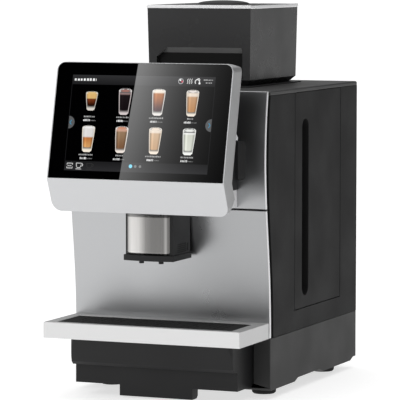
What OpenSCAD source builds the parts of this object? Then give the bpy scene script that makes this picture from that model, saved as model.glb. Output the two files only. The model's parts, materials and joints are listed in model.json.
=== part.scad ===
// Tabletop bean-to-cup hot coffee machine with a touch screen on a swinging front door.
// Frame: millimetres, +Z up, the front faces -Y, the origin is under the middle of the whole machine.

/* [Cabinet] */
// Width of the cabinet
body_w = 300; // [290:1:320]
// Depth of the cabinet behind the foot of the front panel
body_d = 356; // [350:1:380]
// Height of the underside of the base above the table
foot_h = 12; // [12:1:16]
// Height of the seam between base and side panels
base_top = 86; // [86:1:88]
// Height of the cabinet's top surface
lid_top = 432; // [430:1:436]
// Thickness of the sheet and moulded walls
wall = 3; // [2:0.5:4]

/* [Front] */
// How far the front bulges forward at its fullest height
front_bulge = 20; // [16:1:22]
// Height of the fullest point of the front
bulge_z = 335; // [325:1:345]
// How far the top of the front falls back from the bulge
top_recede = 8.7; // [6:0.1:11]
// Height of the gap between the lower panel and the door
door_seam = 267.3; // [266:0.1:269]
// Thickness of the front skins
skin = 5; // [4:0.5:6]
// Dark gap between the front skins and the side panels
side_gap = 6.5; // [6.5:0.5:8]

/* [Screen] */
// Width of the screen housing
screen_w = 265; // [255:1:270]
// Height of the screen glass along its slope
screen_h = 166.5; // [160:0.5:168]
// Thickness of the screen housing
screen_t = 30; // [28:1:32]
// Lean of the screen from upright, in degrees
screen_tilt = 13.2; // [10:0.1:16]
// Distance of the screen's lower front edge in front of the cabinet
screen_reach = 130; // [128:1:134]
// Height of the screen's lower front edge
screen_z = 312; // [310:1:316]

/* [Drip tray] */
// Width of the tray frame
tray_w = 296.6; // [290:0.1:298]
// Depth of the tray frame
tray_d = 110; // [105:1:115]
// Height of the tray frame
tray_h = 22.5; // [20:0.5:24]

/* [Hopper] */
// Width of the bean hopper at its rim
hopper_w = 162.6; // [150:0.1:165]
// Depth of the bean hopper at its rim
hopper_d = 189.8; // [180:0.1:195]
// Distance of the hopper's rim behind the cabinet's front plane
hopper_y = 98.2; // [96:0.1:105]
// Height of the hopper's rim
hopper_top = 548.6; // [540:0.1:552]

/* [Hidden] */
$fn = 64;
gap = 0.4;
half_w = body_w / 2;
centre_y = (body_d - screen_reach) / 2;
inner_x = half_w - wall;
panel_top = lid_top - 6;
front_steps = 26;
hinge_x = -half_w + 4;
hinge_y = -13;
hinge_pin_r = 1.6;
hinge_zs = [288, 398];
hinge_plate_t = 3;
hopper_mid_y = hopper_y + hopper_d / 2;
bay_x = 124.5;
bin_x = 123.4;
bay_d = 250;
deck_t = 2;
tank_y = [96.1, 283.7];
tank_z = [115.6, panel_top - 0.6];
tank_x = [64, 128];
brew_x = -12;
brew_y = 66;
screw_x = 30;
grinder_y = hopper_mid_y;
spout_front = -84.5;
spout_back = -17;
spout_half = 35.6;
spout_r = 130;
spout_z = [197, 262];
flange_h = 8;
carriage_z = 215;
fan_z = 330;
fan_y = [body_d - wall - 25, body_d - wall];
fan_half = 40;
fan_bore_r = 37;
screw_xs = [-140, 140];
screw_zs = [100, 220, 320, 412];
screw_r = 1.7;
screw_play = 0.02;
bracket_half = 109.3;
bracket_z = [295, 362];
neck_front = [-90.9, bracket_z[0]];
neck_low = door_seam + 3;
recess_top = 489;
recess_deep = 9;
grip_y = 137.5;
grip_z = [133, 387];
grip_r = 12.7;
grip_wall = 3;

// ---------- Shared shapes ----------

// Y of the front surface at height z: an S-shaped profile, upright at the base and fullest at bulge_z
function front_y(z) = z < bulge_z
    ? -front_bulge * (1 - cos(180 * pow(max(z - base_top, 0) / (bulge_z - base_top), 1.15))) / 2
    : -front_bulge + top_recede * pow((z - bulge_z) / (lid_top - bulge_z), 2);

// Points of the front surface from height z0 to z1, moved back by the given distance
function front_points(z0, z1, back = 0) =
    [for (i = [0 : front_steps]) let (z = z0 + (z1 - z0) * i / front_steps) [front_y(z) + back, z]];

function reversed(list) = [for (i = [len(list) - 1 : -1 : 0]) list[i]];

// Puts the cabinet frame, whose Y runs from the front panel's foot, under the middle of the machine
module placed() {
    translate([0, -centre_y, 0]) children();
}

// Box between two corners
module block(low, high) {
    translate(low) cube(high - low);
}

// Extrudes a profile drawn in Y and Z along X, between two X values
module along_x(x0, x1) {
    translate([x0, 0, 0]) rotate([90, 0, 90]) linear_extrude(x1 - x0) children();
}

// Extrudes an outline drawn in X and Z along Y, between two Y values
module along_y(y0, y1) {
    translate([0, y1, 0]) rotate([90, 0, 0]) linear_extrude(y1 - y0) children();
}

// Rectangle centred on X with rounded corners: lower corners r0, upper corners r1
module rounded_rect(w, z0, z1, r0, r1) {
    difference() {
        translate([-w / 2, z0]) square([w, z1 - z0]);
        for (side = [-1, 1]) {
            corner_cut(side * w / 2, z0, side, -1, r0);
            corner_cut(side * w / 2, z1, side, 1, r1);
        }
    }
}

// What a rounded corner removes from a square one
module corner_cut(x, y, sx, sy, r) {
    difference() {
        translate([x - (sx > 0 ? r : 0), y - (sy > 0 ? r : 0)]) square(r);
        translate([x - sx * r, y - sy * r]) circle(r);
    }
}

// Cylinder along Z with its own height range
module post(x, y, z0, z1, r) {
    translate([x, y, z0]) cylinder(h = z1 - z0, r = r);
}

// Cylinder along Y with its own range
module rod_y(x, z, y0, y1, r) {
    translate([x, y1, z]) rotate([90, 0, 0]) cylinder(h = y1 - y0, r = r);
}

// Cylinder along X with its own range
module rod_x(y, z, x0, x1, r) {
    translate([x0, y, z]) rotate([0, 90, 0]) cylinder(h = x1 - x0, r = r);
}

// Curved front skin between two heights
module front_skin(z0, z1, half_width) {
    along_x(-half_width, half_width)
        polygon(concat(front_points(z0, z1), reversed(front_points(z0, z1, skin))));
}

// Local frame of the leaning screen: origin on its lower front edge, Z along the glass, Y into the housing
module on_screen() {
    translate([0, -screen_reach, screen_z]) rotate([-screen_tilt, 0, 0]) children();
}

// ---------- Base and cabinet ----------

// Side view of the base: its lower edge steps up between the feet and at the back
module base_profile() {
    low = foot_h;
    high = foot_h + 4.5;
    polygon([[0, low + 3], [3, low], [98, low], [111, high], [200, high], [212, low], [332, low],
        [345, high], [body_d, high], [body_d, base_top], [0, base_top]]);
}

module base_pan() {
    color([0.25, 0.25, 0.25]) placed() {
        difference() {
            along_x(-half_w, half_w) base_profile();
            block([-bay_x, -1, foot_h + 4.2], [bay_x, bay_d, base_top + 1]);
            for (side = [-1, 1])
                block([side > 0 ? bay_x + wall : -inner_x, wall, foot_h + 8],
                    [side > 0 ? inner_x : -bay_x - wall, body_d - wall, base_top + 1]);
            block([-bay_x, bay_d + wall, foot_h + 8], [bay_x, body_d - wall, base_top + 1]);
        }
        block([-bay_x - wall, wall, foot_h + 1], [bay_x + wall, body_d - 12, foot_h + 4.2]);
    }
}

module rubber_feet() {
    color([0.06, 0.06, 0.06]) placed()
        for (x = [-118, 118], y = [58, 298]) {
            translate([x, y, 0]) rotate_extrude()
                polygon([[0, 3], [6, 3], [6, 0], [15, 0], [17, 2], [18, foot_h], [0, foot_h]]);
        }
}

module inner_frame() {
    deck_z = base_top;
    color([0.62, 0.63, 0.64]) placed() {
        difference() {
            union() {
                block([-inner_x + gap, 8, deck_z], [inner_x - gap, 350, deck_z + deck_t]);
                block([58, 92, deck_z + deck_t], [60, 338, panel_top]);
                block([60, 96, 113], [inner_x - gap, 284, 115]);
                for (x = [-inner_x + gap, inner_x - gap - 10], y = [8, 338])
                    block([x, y, deck_z + deck_t], [x + 10, y + 10, panel_top]);
            }
            block([brew_x - 30, 36, deck_z - 1], [brew_x + 30, 100, deck_z + 5]);
            for (y = [130, 200, 260])
                rod_x(y, 380, 50, 70, 8);
            for (x = screw_xs, z = screw_zs)
                rod_y(x, z, 330, 360, screw_r);
        }
    }
}

// Side panel outline: its front edge follows the front skins
module side_outline() {
    polygon(concat(front_points(base_top, panel_top, skin + side_gap),
        [[body_d - wall, panel_top], [body_d - wall, base_top]]));
}

module left_panel() {
    color([0.2, 0.2, 0.2]) placed() difference() {
        along_x(-half_w, -inner_x) side_outline();
        for (i = [0 : 6], j = [0 : 1])
            vent_slot(-half_w - 1, 190 + j * 62, 130 + i * 12);
    }
}

// Ventilation slot through a side panel
module vent_slot(x, y, z) {
    block([x, y, z], [x + wall + 2, y + 46, z + 4]);
    for (end = [y, y + 46])
        rod_x(end, z + 2, x, x + wall + 2, 2);
}

module right_panel() {
    color([0.2, 0.2, 0.2]) placed() difference() {
        along_x(inner_x, half_w) side_outline();
        block([inner_x - 1, tank_y[0] - 0.6, tank_z[0] - 0.6], [half_w + 1, tank_y[1] + 0.6, lid_top]);
    }
}

module back_panel() {
    color([0.2, 0.2, 0.2]) placed() difference() {
        block([-half_w, body_d - wall, base_top], [half_w, body_d, panel_top]);
        for (i = [-3 : 3])
            let (half = sqrt(pow(35, 2) - pow(i * 10, 2)))
                block([-half, body_d - wall - 1, fan_z + i * 10 - 3], [half, body_d + 1, fan_z + i * 10 + 3]);
        for (i = [0 : 7])
            block([50, body_d - wall - 1, 130 + i * 14], [120, body_d + 1, 135 + i * 14]);
        block([-126, body_d - wall - 1, 112], [-96, body_d + 1, 136]);
        block([-121, body_d - wall - 1, 152], [-101, body_d + 1, 180]);
        for (x = screw_xs, z = screw_zs)
            rod_y(x, z, body_d - wall - 1, body_d + 1, screw_r);
    }
}

module panel_screws() {
    color([0.7, 0.7, 0.7]) placed()
        for (x = screw_xs, z = screw_zs) {
            difference() {
                rod_y(x, z, body_d - 1.2, body_d, screw_r - screw_play);
                rod_y(x, z, body_d - 0.7, body_d + 1, 0.9);
            }
            rod_y(x, z, body_d - 14, body_d - 1.2, screw_r - screw_play);
        }
}

module top_lid() {
    bevel = 2;
    color([0.27, 0.27, 0.27]) placed() difference() {
        along_x(-half_w, half_w)
            polygon([[-1, panel_top], [-1, lid_top - bevel], [1, lid_top], [body_d - bevel, lid_top],
                [body_d, lid_top - bevel], [body_d, panel_top]]);
        for (side = [-1, 1])
            translate([side * half_w, 0, lid_top]) rotate([0, 45, 0])
                cube([bevel, 3 * body_d, bevel], center = true);
        post(0, grinder_y, panel_top - 1, lid_top + 1, 24);
    }
}

// ---------- Lower front and spout guide ----------

module lower_panel() {
    color([0.78, 0.78, 0.79]) placed() difference() {
        union() {
            front_skin(base_top, door_seam - 0.8, half_w - 0.5);
            for (z = [152, 256])
                block([-30, front_y(z) + skin - 0.5, z], [30, 24, z + 8]);
            for (x = [-146, 134])
                block([x, skin - 1.5, base_top + 4], [x + 12, 8, base_top + 12]);
        }
        block([-13, -30, carriage_z - 18], [13, 8, carriage_z + 38]);
        for (x = [-22, 22])
            post(x, 17, 140, 270, 3);
    }
}

module spout_rails() {
    color([0.8, 0.8, 0.8]) placed()
        for (x = [-22, 22])
            post(x, 17, 152, 264, 3);
}

module hinge_brackets() {
    color([0.5, 0.5, 0.5]) placed()
        for (z = hinge_zs)
            translate([0, 0, z - hinge_plate_t / 2]) difference() {
                union() {
                    block([hinge_x - 2.6, hinge_y, 0], [hinge_x + 2.6, 1, hinge_plate_t]);
                    block([-inner_x, -1, 0], [-inner_x + 8, 8, hinge_plate_t]);
                    post(hinge_x, hinge_y, 0, hinge_plate_t, 2.6);
                }
                post(hinge_x, hinge_y, -1, hinge_plate_t + 1, hinge_pin_r);
                block([-half_w - 1, front_y(z) + skin + side_gap - 0.3, -1],
                    [-inner_x, 9, hinge_plate_t + 1]);
            }
}

module hinge_pins() {
    color([0.75, 0.75, 0.75]) placed()
        for (z = hinge_zs)
            post(hinge_x, hinge_y, z - 10, z + 10, hinge_pin_r);
}

// ---------- Hopper ----------

// Thin rectangular slab used as one end of a tapered shell
module slab(half_x, y0, y1, z) {
    block([-half_x, y0, z], [half_x, y1, z + 0.1]);
}

module hopper_seat() {
    color([0.2, 0.2, 0.2]) placed() difference() {
        block([-84, hopper_y - 14, lid_top], [84, hopper_y + hopper_d + 6, lid_top + 1.6]);
        post(0, grinder_y, lid_top - 1, lid_top + 3, 24);
    }
}

module hopper_body() {
    foot = lid_top + 1.6;
    waist = foot + 8;
    top = hopper_top - 5;
    half = hopper_w / 2;
    y0 = hopper_y;
    y1 = hopper_y + hopper_d;
    color([0.22, 0.22, 0.22]) placed() difference() {
        union() {
            hull() {
                slab(half - 1, y0 + 1, y1 - 1, top - 0.1);
                slab(half - 3, y0 + 3.2, y1 - 2.6, waist);
            }
            hull() {
                slab(half - 3, y0 + 3.2, y1 - 2.6, waist);
                slab(half - 11, y0 + 11, y1 - 10, foot);
            }
        }
        hull() {
            slab(half - 4, y0 + 12, y1 - 4, top);
            slab(half - 6, y0 + 14, y1 - 6, waist + 46);
        }
        hull() {
            slab(half - 6, y0 + 14, y1 - 6, waist + 46.1);
            slab(22, grinder_y - 22, grinder_y + 22, waist);
        }
        post(0, grinder_y, foot - 1, waist + 1, 22);
        intersection() {
            along_x(-67, 67)
                polygon([[y0 - 1, waist + 1], [y0 + recess_deep, waist + 1],
                    [y0 + recess_deep, recess_top - 9], [y0 + 1, recess_top], [y0 - 1, recess_top]]);
            along_y(y0 - 2, y0 + recess_deep + 1)
                polygon([[-66.5, waist], [-66.5, recess_top - 14.4], [-48, recess_top], [65, recess_top],
                    [67, recess_top - 5], [67, waist]]);
        }
        block([-26.4, y0, foot + 1.6], [26.4, grinder_y + 74, foot + 4.4]);
    }
}

module hopper_rim() {
    half = hopper_w / 2;
    y0 = hopper_y;
    y1 = hopper_y + hopper_d;
    low = hopper_top - 5;
    color([0.75, 0.75, 0.76]) placed() difference() {
        block([-half, y0, low], [half, y1, hopper_top]);
        block([-half + 12, y0 + 12, low - 1], [half - 12, y1 - 12, hopper_top]);
        block([-half + 3, y0 + 3, low + 1.6], [half - 3, y1 - 3, hopper_top + 1]);
    }
}

module hopper_lid() {
    half = hopper_w / 2 - 3 - gap;
    y0 = hopper_y + 3 + gap;
    y1 = hopper_y + hopper_d - 3 - gap;
    color([0.1, 0.1, 0.1]) placed() {
        block([-half, y0, hopper_top - 3.1], [half, y1, hopper_top - 0.3]);
        difference() {
            block([-half + 9.2, y0 + 9.2, hopper_top - 9], [half - 9.2, y1 - 9.2, hopper_top - 3.1]);
            block([-half + 12, y0 + 12, hopper_top - 10], [half - 12, y1 - 12, hopper_top - 3.1]);
        }
        translate([0, hopper_mid_y, hopper_top - 0.3]) rotate_extrude()
            polygon(concat([[0, 0], [39, 0]], [for (a = [0 : 10 : 90]) [38 * cos(a), 1 + 5 * sin(a)]]));
    }
}

module hopper_gate() {
    z = lid_top + 1.6 + 2;
    color([0.12, 0.12, 0.12]) placed() {
        difference() {
            block([-26, hopper_y - 1, z], [26, grinder_y + 72, z + 2]);
            post(0, grinder_y, z - 1, z + 3, 21.5);
        }
        block([-20, hopper_y - 6, z - 1.2], [20, hopper_y - 1, z + 9]);
    }
}

// ---------- Grinder ----------

module grinder_body() {
    color([0.55, 0.55, 0.56]) placed() difference() {
        union() {
            post(0, grinder_y, 330, 410, 46);
            post(0, grinder_y, 410, panel_top, 30);
            block([-14, grinder_y - 60, 356], [14, grinder_y - 40, 384]);
        }
        post(0, grinder_y, 405, panel_top + 1, 22);
        post(0, grinder_y, 362, 405.1, 38);
        post(0, grinder_y, 329, 363, 5.05);
        block([-10, grinder_y - 61, 362], [10, grinder_y - 30, 380]);
    }
}

module upper_burr() {
    color([0.7, 0.7, 0.72]) placed() difference() {
        post(0, grinder_y, 392, 405, 38);
        post(0, grinder_y, 391, 406, 20);
        translate([0, grinder_y, 391.9]) cylinder(h = 6, r1 = 33, r2 = 20);
    }
}

module lower_burr() {
    color([0.7, 0.7, 0.72]) placed() {
        difference() {
            union() {
                post(0, grinder_y, 382, 388, 34);
                translate([0, grinder_y, 388]) cylinder(h = 8, r1 = 24, r2 = 8);
            }
            for (a = [0 : 30 : 330])
                translate([0, grinder_y, 388]) rotate([0, 0, a]) block([26, -1, -2], [36, 1, 1]);
        }
        post(0, grinder_y, 331, 382, 5);
    }
}

module grinder_motor() {
    color([0.35, 0.35, 0.36]) placed() {
        post(0, grinder_y, 232, 326, 34);
        for (a = [45 : 90 : 315])
            translate([0, grinder_y, 0]) rotate([0, 0, a]) post(28, 0, 325, 330, 4);
        post(0, grinder_y, 224, 232, 14);
    }
}

module coffee_chute() {
    color([0.15, 0.15, 0.15]) placed() difference() {
        along_x(-13, 13)
            polygon([[grinder_y - 60, 386], [grinder_y - 60, 354], [96, 296], [40, 296], [40, 304]]);
        along_x(-10.5, 10.5)
            polygon([[grinder_y - 59, 383], [grinder_y - 59, 360], [92, 295], [46, 295], [46, 304]]);
    }
}

// ---------- Brew unit ----------

module brew_frame() {
    top = 288;
    color([0.3, 0.3, 0.3]) placed() difference() {
        union() {
            block([-56, 26, base_top + deck_t], [52, 106, base_top + deck_t + 4]);
            block([-56, 26, top], [52, 106, top + 4]);
            block([-56, 26, base_top + deck_t + 4], [-52, 106, top]);
            block([48, 26, base_top + deck_t + 4], [52, 106, top]);
            block([-52, 96, 150], [48, 100, 180]);
        }
        block([brew_x - 28, 38, base_top], [brew_x + 28, 98, base_top + 8]);
        block([brew_x - 30, 38, top - 1], [brew_x + 26, 98, top + 5]);
        post(screw_x + 6, brew_y, base_top, base_top + 8, 6.06);
        post(screw_x + 6, brew_y, top - 1, top + 5, 6.06);
    }
}

module brew_chamber() {
    color([0.16, 0.16, 0.16]) placed() difference() {
        union() {
            post(brew_x, brew_y, 140, 206, 27);
            block([brew_x - 16, 88, 150], [brew_x + 16, 96, 180]);
        }
        post(brew_x, brew_y, 146, 207, 22.3);
        post(brew_x, brew_y, 139, 147, 4);
    }
}

module brew_piston() {
    color([0.75, 0.75, 0.76]) placed() {
        post(brew_x, brew_y, 212, 230, 21.8);
        post(brew_x, brew_y, 230, 268, 8);
        difference() {
            block([brew_x - 12, brew_y - 11, 268], [screw_x + 15, brew_y + 11, 280]);
            post(screw_x + 6, brew_y, 267, 281, 6.06);
        }
    }
}

module brew_screw() {
    color([0.7, 0.7, 0.7]) placed() {
        post(screw_x + 6, brew_y, base_top + deck_t + 1, 293, 6);
        difference() {
            post(screw_x + 6, brew_y, 94, 100, 9);
            for (a = [0 : 45 : 315])
                translate([screw_x + 6, brew_y, 93]) rotate([0, 0, a]) block([7.6, -1, 0], [10, 1, 8]);
        }
    }
}

module brew_motor() {
    color([0.3, 0.3, 0.32]) placed() {
        post(screw_x + 6, brew_y, 294, 338, 18);
        difference() {
            block([screw_x - 12, brew_y - 18, 292], [screw_x + 16, brew_y + 18, 294]);
            post(screw_x + 6, brew_y, 290, 294, 7);
        }
    }
}

// ---------- Water, power and control ----------

module boiler() {
    color([0.72, 0.72, 0.73]) placed() translate([-98, 252, 0]) {
        rotate_extrude()
            polygon(concat([[0, base_top + deck_t], [30, base_top + deck_t], [30, 100], [38, 104]],
                [for (a = [0 : 15 : 90]) [38 * cos(a), 236 + 14 * sin(a)]]));
        post(0, 0, 249, 262, 6);
    }
}

module water_pump() {
    z = base_top + deck_t;
    color([0.55, 0.45, 0.3]) placed() {
        block([-132, 108, z], [-72, 160, z + 6]);
        rod_y(-102, z + 34, 100, 168, 20);
        block([-122, 114, z + 6], [-82, 154, z + 22]);
        rod_y(-102, z + 34, 88, 100, 6);
    }
}

module flow_meter() {
    z = base_top + deck_t;
    color([0.85, 0.85, 0.85]) placed() {
        post(-102, 60, z, z + 22, 16);
        rod_x(60, z + 12, -130, -112, 4);
    }
}

module valve_block() {
    color([0.75, 0.6, 0.3]) placed() {
        block([-140, 180, 268], [-70, 212, 290]);
        for (i = [0 : 2])
            post(-128 + i * 24, 196, 290, 318, 9);
        for (x = [-138, -76])
            block([x, 184, base_top + deck_t], [x + 4, 208, 268]);
    }
}

module power_supply() {
    color([0.75, 0.75, 0.76]) placed() difference() {
        block([-134, 302, 290], [-64, body_d - wall, 410]);
        for (i = [0 : 8])
            block([-120, 300, 300 + i * 12], [-78, 304, 304 + i * 12]);
    }
}

module control_board() {
    x = -inner_x;
    color([0.1, 0.35, 0.2]) placed() {
        block([x + 4, 60, 200], [x + 5.6, 240, 262]);
        block([x + 4, 60, 300], [x + 5.6, 240, 400]);
        block([x + 4, 100, 262], [x + 5.6, 200, 300]);
        for (y = [66, 230], z = [206, 392])
            rod_x(y, z, x, x + 4, 3);
        block([x + 5.6, 80, 340], [x + 12, 110, 370]);
        block([x + 5.6, 140, 350], [x + 9, 165, 375]);
        for (i = [0 : 4])
            block([x + 5.6, 76 + i * 30, 386], [x + 14, 96 + i * 30, 394]);
        for (i = [0 : 2])
            rod_x(190 + i * 16, 330, x + 5.6, x + 20, 6);
    }
}

module fan_frame() {
    half = fan_half;
    color([0.08, 0.08, 0.08]) placed() difference() {
        union() {
            difference() {
                block([-half, fan_y[0], fan_z - half], [half, fan_y[1], fan_z + half]);
                rod_y(0, fan_z, fan_y[0] - 1, fan_y[1] + 1, fan_bore_r);
            }
            for (a = [45 : 90 : 315])
                translate([0, 0, fan_z]) rotate([0, a, 0]) block([12, fan_y[0], -2], [38, fan_y[0] + 3, 2]);
            rod_y(0, fan_z, fan_y[0], fan_y[0] + 3, 15);
            rod_y(0, fan_z, fan_y[0] + 3, fan_y[0] + 16, 3);
        }
        for (x = [-35, 35], z = [-35, 35])
            rod_y(x, fan_z + z, fan_y[0] - 1, fan_y[1] + 1, 2.2);
    }
}

module fan_rotor() {
    color([0.12, 0.12, 0.12]) placed() {
        difference() {
            union() {
                rod_y(0, fan_z, fan_y[0] + 4, fan_y[0] + 22, 14);
                for (a = [0 : 360 / 7 : 359])
                    translate([0, fan_y[0] + 13, fan_z]) rotate([0, a, 0]) rotate([35, 0, 0])
                        block([12, -1, -10], [35, 1, 10]);
            }
            rod_y(0, fan_z, fan_y[0], fan_y[0] + 18, 3.05);
        }
    }
}

module power_inlet() {
    y = body_d;
    color([0.08, 0.08, 0.08]) placed() {
        difference() {
            union() {
                block([-125.7, y - 26, 112.3], [-96.3, y - 0.4, 135.7]);
                block([-129, y - 6, 109], [-93, y - wall, 183]);
            }
            block([-123, y - 18, 116], [-99, y + 1, 132]);
            block([-120.7, y - 24, 152.3], [-101.3, y + 1, 179.7]);
        }
        for (x = [-118, -111, -104])
            block([x - 0.8, y - 18, x == -111 ? 126 : 119], [x + 0.8, y - 6, x == -111 ? 130 : 123]);
        difference() {
            block([-120.7, y - 22, 152.3], [-101.3, y - 0.4, 179.7]);
            block([-118.5, y - 17, 154.5], [-103.5, y + 1, 177.5]);
        }
        block([-112, y - 26, 135.7], [-110, y - 18, 152.3]);
    }
}

module power_rocker() {
    y = body_d;
    color([0.5, 0.08, 0.08]) placed() difference() {
        along_x(-118, -104)
            polygon([[y - 12, 163], [y - 4.4, 155.4], [y - 2.6, 166], [y - 1.2, 176], [y - 9, 172]]);
        rod_x(y - 8, 166, -119, -117, 1.2);
    }
}

// ---------- Door with the screen ----------

module upper_door() {
    half = half_w - 0.5;
    z0 = door_seam + 0.7;
    color([0.78, 0.78, 0.79]) placed() difference() {
        union() {
            front_skin(z0, lid_top, half);
            for (z = hinge_zs)
                block([-half, hinge_y, z - 14], [-half + 7.4, -9, z + 14]);
        }
        for (z = hinge_zs) {
            block([-half_w - 1, -30, z - 2], [-half + 12, 5, z + 2]);
            post(hinge_x, hinge_y, z - 10.4, z + 10.4, hinge_pin_r + 0.05);
        }
        block([-40, -30, 320], [40, 0, 350]);
    }
}

module door_liner() {
    z0 = door_seam + 8;
    z1 = lid_top - 10;
    color([0.1, 0.1, 0.1]) placed() difference() {
        along_x(-134, 143) polygon(concat(front_points(z0, z1, skin), [[-1, z1], [-1, z0]]));
        block([-131, -30, z0 + 3], [-122, -3.5, z1 - 3]);
        along_x(-122, 140)
            polygon(concat(front_points(z0 + 3, z1 - 3, skin - 1), [[-3.5, z1 - 3], [-3.5, z0 + 3]]));
    }
}

module screen_bracket() {
    half = bracket_half;
    low = bracket_z[0];
    top = bracket_z[1];
    color([0.1, 0.1, 0.1]) placed() difference() {
        along_x(-half, half)
            polygon(concat(front_points(low, top, -0.1),
                [screen_rear(top), screen_rear(screen_z - 1), neck_front]));
        along_x(-half + 4, half - 4)
            polygon(concat(front_points(low + 4, top - 4, 1),
                [screen_rear(top - 4) - [10, 0], screen_rear(314) - [10, 0], [-85, low + 4]]));
    }
}

// Silver neck that closes the gap under the bracket, behind the housing's chin
module screen_neck() {
    half = bracket_half - 2.4;
    color([0.8, 0.8, 0.81]) placed()
        along_x(-half, half)
            polygon(concat(front_points(neck_low, bracket_z[0], -0.1),
                [neck_front, [-88, 288], [-70, neck_low]]));
}

// Catch on the rear edge of the housing that locks the screen to its bracket
module screen_latch() {
    low = 66.5;
    reach = screen_t + 11;
    color([0.8, 0.8, 0.81]) placed() on_screen()
        along_x(screen_w / 2 - 9, screen_w / 2 - 1.5)
            polygon([[screen_t, low], [reach, low], [reach, low + 4.5],
                [screen_t + 3, low + 8.5], [screen_t, low + 8.5]]);
}

// Point on the rear face of the screen housing's cover at height z
function screen_rear(z) =
    [-screen_reach + (screen_t + 2) / cos(screen_tilt) + (z - screen_z) * tan(screen_tilt), z];

// Side view of the housing: a leaning slab above a chin that falls back the other way
module housing_profile() {
    u = [sin(screen_tilt), cos(screen_tilt)];
    n = [cos(screen_tilt), -sin(screen_tilt)];
    v = [-screen_reach, screen_z];
    polygon([v, v + screen_h * u, v + screen_h * u + screen_t * n, v + 5 * u + screen_t * n,
        [-89.2, 288], [-109.5, 265]]);
}

module screen_housing() {
    color([0.8, 0.8, 0.81]) placed() difference() {
        intersection() {
            along_x(-screen_w / 2, screen_w / 2) housing_profile();
            along_y(-screen_reach - 5, 0) rounded_rect(screen_w, 264.9, 472.2, 14, 12);
        }
        on_screen() {
            along_y(-1, 2.6) rounded_rect(screen_w - 2.8, 0.6, screen_h - 2.4, 1, 10.5);
            block([-screen_w / 2 + 14, -1, 8], [screen_w / 2 - 14, screen_t + 2, screen_h - 12]);
        }
        along_x(-118, 118) polygon([[-116, 300], [-112, 282], [-108, 276], [-98, 288], [-104, 303]]);
    }
}

module screen_back() {
    color([0.08, 0.08, 0.08]) placed() on_screen() {
        plug = screen_w / 2 - 14 - gap;
        lip = screen_w / 2 - 10;
        block([-plug, screen_t - 4, 8 + gap], [plug, screen_t, screen_h - 12 - gap]);
        block([-lip, screen_t, 6], [lip, screen_t + 2, screen_h - 8]);
    }
}

module screen_glass() {
    color([0.02, 0.02, 0.02]) placed() on_screen()
        along_y(0.1, 2.6) rounded_rect(screen_w - 3.2, 0.8, screen_h - 2.6, 1, 10.3);
}

module screen_panel() {
    color([0.1, 0.1, 0.12]) placed() on_screen()
        block([-115, 2.6, 10], [115, 10, 150]);
}

module screen_board() {
    color([0.1, 0.3, 0.2]) placed() on_screen() {
        block([-80, 14, 30], [80, 15.6, 130]);
        for (x = [-72, 72], z = [36, 124])
            rod_y(x, z, 10, 14, 3);
        block([-30, 15.6, 60], [10, 19, 100]);
        block([40, 15.6, 40], [70, 22, 60]);
    }
}

// ---------- Spout ----------

// Block whose front is part of an upright cylinder
module bowed(half, back, radius, z0, z1) {
    intersection() {
        block([-half, spout_front - 20, z0], [half, back, z1]);
        post(0, spout_front + spout_r, z0 - 1, z1 + 1, radius);
    }
}

module spout_housing() {
    z0 = spout_z[0];
    z1 = spout_z[1];
    color([0.12, 0.12, 0.12]) placed() difference() {
        union() {
            bowed(spout_half, spout_back, spout_r - 1, z0 + flange_h, z1);
            bowed(spout_half + 1.9, spout_back + 1, spout_r + 2.5, z0, z0 + flange_h);
        }
        bowed(spout_half - 3, spout_back - 3, spout_r - 4, z0 + 4, z1 - 3);
        for (x = [-14.8, 14.8])
            post(x, -71, z0 - 1, z0 + 5, 3.52);
        for (x = [-17, 17])
            post(x, -48, z0 - 1, z0 + 5, 5.02);
        for (side = [-1, 1])
            block([side * spout_half - 0.8, -34, 208], [side * spout_half + 0.8, -24, 219]);
    }
}

module spout_plate() {
    color([0.6, 0.58, 0.55]) placed() difference() {
        bowed(32, -60, spout_r, spout_z[0] + flange_h + 0.6, spout_z[1]);
        post(0, spout_front + spout_r, spout_z[0], spout_z[1] + 1, spout_r - 0.98);
    }
}

module spout_nozzles() {
    z = spout_z[0];
    color([0.1, 0.1, 0.1]) placed() {
        for (x = [-14.8, 14.8])
            tube(x, -71, z - 4.5, z + 30, 3.5, 2);
        for (x = [-17, 17])
            tube(x, -48, z - 3, z + 30, 5, 3.4);
        difference() {
            block([-24, -75, z + 30], [24, -40, z + 48]);
            block([-21, -72, z + 33], [21, -43, z + 45]);
        }
    }
}

module tube(x, y, z0, z1, r, bore) {
    difference() {
        post(x, y, z0, z1, r);
        post(x, y, z0 - 1, z1 + 1, bore);
    }
}

module spout_carriage() {
    color([0.2, 0.2, 0.2]) placed() {
        block([-12, spout_back, carriage_z + 14], [12, 11, carriage_z + 36]);
        difference() {
            block([-30, 11, carriage_z], [30, 23, carriage_z + 38]);
            for (x = [-22, 22])
                post(x, 17, carriage_z - 1, carriage_z + 39, 3.06);
        }
    }
}

// ---------- Drip tray ----------

module tray_frame() {
    back = -0.6;
    front = back - tray_d;
    top = base_top - 0.4 + tray_h;
    low = base_top - 0.4;
    half = tray_w / 2;
    color([0.86, 0.86, 0.86]) placed() difference() {
        block([-half, front, low], [half, back, top]);
        block([-half + 16, front + 10, low - 1], [half - 16, back - 22, top + 1]);
        block([-half + 3, front + 3, low - 1], [half - 3, back - 3, top - 6]);
        for (x = [-76.5, 76.5])
            block([x - 5, back - 23, top - 4], [x + 5, back - 18, top + 1]);
    }
}

// Side view of the part of the drip container that shows under the tray frame
module container_front() {
    polygon([[-82, 92], [-70.5, 49], [-66, 44.5], [-57, 43.5],
        [-56, 42.5], [-56, 17.4], [-20, 17.4], [-20, 92]]);
}

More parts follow.
